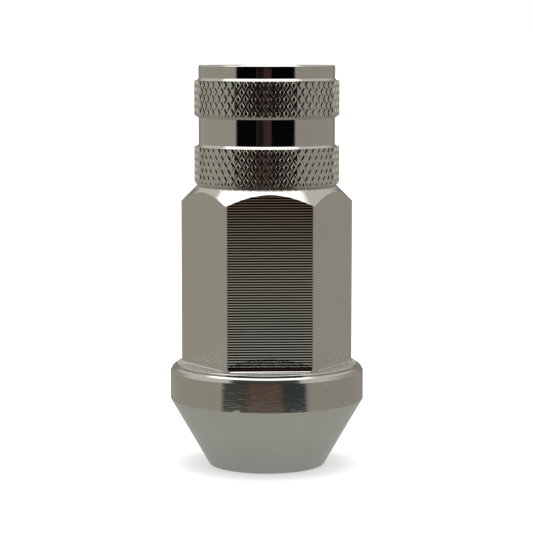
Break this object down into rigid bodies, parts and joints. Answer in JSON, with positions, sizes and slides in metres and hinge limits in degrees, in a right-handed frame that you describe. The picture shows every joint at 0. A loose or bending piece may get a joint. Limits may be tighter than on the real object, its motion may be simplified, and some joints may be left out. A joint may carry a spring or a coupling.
{
  "type": "lug nut",
  "caption": "Plated steel wheel lug nut: conical seat, flange, hexagon drive, knurled grip bands and collar, with a threaded bore from end to end.",
  "frame": {"origin": "middle of the small end of the conical seat, the end that the nut stands on", "axes": "+Z along the bore, from the seat to the collar; -Y faces one flat of the hexagon"},
  "size_m": [0.0246, 0.0246, 0.0509],
  "materials": {
    "bright_plating": "bright nickel-chrome plating over turned steel, with fine feed lines on the hexagon's flats"
  },
  "bodies": {
    "root": {"lug_nut": "bright_plating"}
  },
  "joints": []
}
